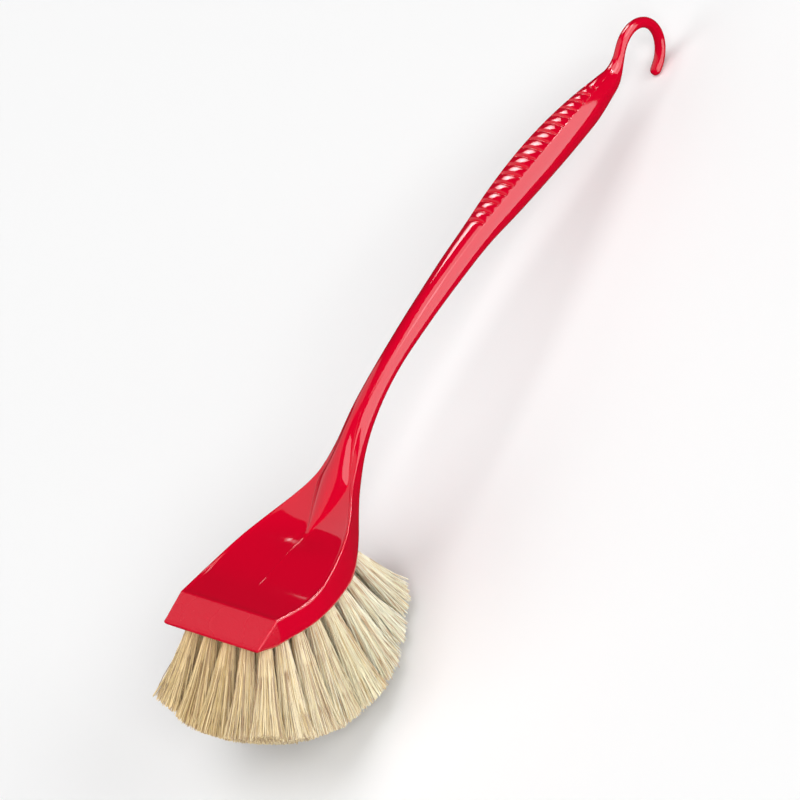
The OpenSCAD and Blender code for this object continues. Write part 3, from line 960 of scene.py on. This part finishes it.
nothing_selected()
bpy.ops.mesh.primitive_circle_add(vertices=64, radius=FLOOR_R, fill_type="NGON",
                                  location=(0, 0, 0))
floor = bpy.context.object
floor.name = "floor"
floor.visible_glossy = False
pale = Finish("pale_floor", Roughness=0.9, Specular_IOR_Level=0.0)
clouds = pale.noise(pale.place(), scale=3, detail=1)
pale.feed(Base_Color=pale.blend(clouds, FLOOR_GREY, FLOOR_PALE))
pale.dress(floor)
print("floor set")

# %% [markdown]
# ## Light
# Two jobs are kept apart. Large soft lamps far away give an even, plain level, at which a colour
# shows about as it is written. Glossy plastic shows its surroundings, so bright cards stand around
# it that only reflections see.

# %% Lamps for the plain level, and cards for the gloss
LAMP_SIZE = 7.0


def light(name, azimuth, elevation, away, width, height, spot=(0, 0, 0.04), roll=0):
    a, e, t = math.radians(azimuth), math.radians(elevation), math.radians(roll)
    out = Vector((math.cos(e) * math.cos(a), math.cos(e) * math.sin(a), math.sin(e)))
    lamp = bpy.data.lights.new(name, "AREA")
    lamp.shape, lamp.size, lamp.size_y = "RECTANGLE", width, height
    thing = bpy.data.objects.new(name, lamp)
    turn = (-out).to_track_quat("-Z", "Y").to_matrix().to_4x4() @ Matrix.Rotation(t, 4, "Z")
    thing.matrix_world = Matrix.Translation(Vector(spot) + away * out) @ turn
    thing.visible_camera = False
    bpy.context.scene.collection.objects.link(thing)
    return thing


def soft_lamp(name, azimuth, elevation, away, level):
    lamp = light(name, azimuth, elevation, away, LAMP_SIZE, LAMP_SIZE)
    lamp.data.energy = level * math.pi**2 * away**2
    lamp.visible_glossy = False


def gloss_card(name, azimuth, elevation, away, width, height, brightness, **place):
    card = light(name, azimuth, elevation, away, width, height, **place)
    card.data.energy = brightness * math.pi * width * height
    card.visible_diffuse = False
    return card


def narrow(card, half_angle):
    h = math.radians(half_angle)
    card.data.spread = 2 * h
    card.data.energy *= 1 - h / math.tan(h)


print("light helpers ready")

# %% [markdown]
# A tall card to the near right draws the broad band along the handle, and one on the right a thin
# line along the back of the neck. One at the back left lights the scraper, the wings of the head
# with the foot between them, and part of each rib. Two small cards shine only towards one place:
# one draws the bright line along the head's near rim, and one puts a spark on each rib.

# %% Set the lights
RIM_SPOT, RIBS_SPOT = (-0.11, -0.02, 0.05), (0.069, 0, 0.005)

soft_lamp("overhead_lamp", azimuth=0, elevation=89, away=10, level=0.48)
soft_lamp("front_lamp", azimuth=-112, elevation=44, away=12, level=0.5)
soft_lamp("near_right_lamp", azimuth=-58, elevation=25, away=12, level=0.33)
soft_lamp("left_lamp", azimuth=150, elevation=40, away=12, level=0.22)
gloss_card("near_right_card", azimuth=-69.4, elevation=5.8, away=1.09,
           width=1.24, height=1.85, brightness=3.5, roll=-25)
gloss_card("right_card", azimuth=-34.0, elevation=40.0, away=1.18,
           width=0.9, height=0.9, brightness=3.2, roll=-13)
gloss_card("left_card", azimuth=97.4, elevation=52, away=0.94,
           width=0.74, height=2.46, brightness=0.95, roll=-14)
rim_card = gloss_card("rim_card", azimuth=-20, elevation=30, away=1.0,
                      width=0.3, height=0.25, brightness=55, spot=RIM_SPOT)
narrow(rim_card, half_angle=9)
spark_card = gloss_card("spark_card", azimuth=41.5, elevation=36, away=0.35,
                        width=0.2, height=0.15, brightness=18, spot=RIBS_SPOT, roll=19.5)
narrow(spark_card, half_angle=22)
world = bpy.data.worlds.new("studio_fill")
world.use_nodes = True
world.node_tree.nodes["Background"].inputs["Color"].default_value = (0.03, 0.03, 0.03, 1)
bpy.context.scene.world = world

# %% [markdown]
# ## The camera
# A long lens from far away keeps the long handle from tapering. The matrix holds the camera's axes
# in its first three columns and its place in the last.

# %% The camera
LENS, SENSOR_W = 189.0, 36.0

eye = bpy.data.cameras.new("camera")
eye.lens, eye.sensor_width = LENS, SENSOR_W
camera = bpy.data.objects.new("camera", eye)
camera.matrix_world = Matrix(((0.454276, 0.84968, -0.267726, -0.425536),
                              (-0.741147, 0.193713, -0.642788, -0.972122),
                              (-0.494302, 0.490427, 0.717737, 1.127038),
                              (0, 0, 0, 1)))
bpy.context.scene.collection.objects.link(camera)
bpy.context.scene.camera = camera
bpy.context.scene.view_settings.view_transform = "Standard"
print("camera at", [round(v, 3) for v in camera.location])
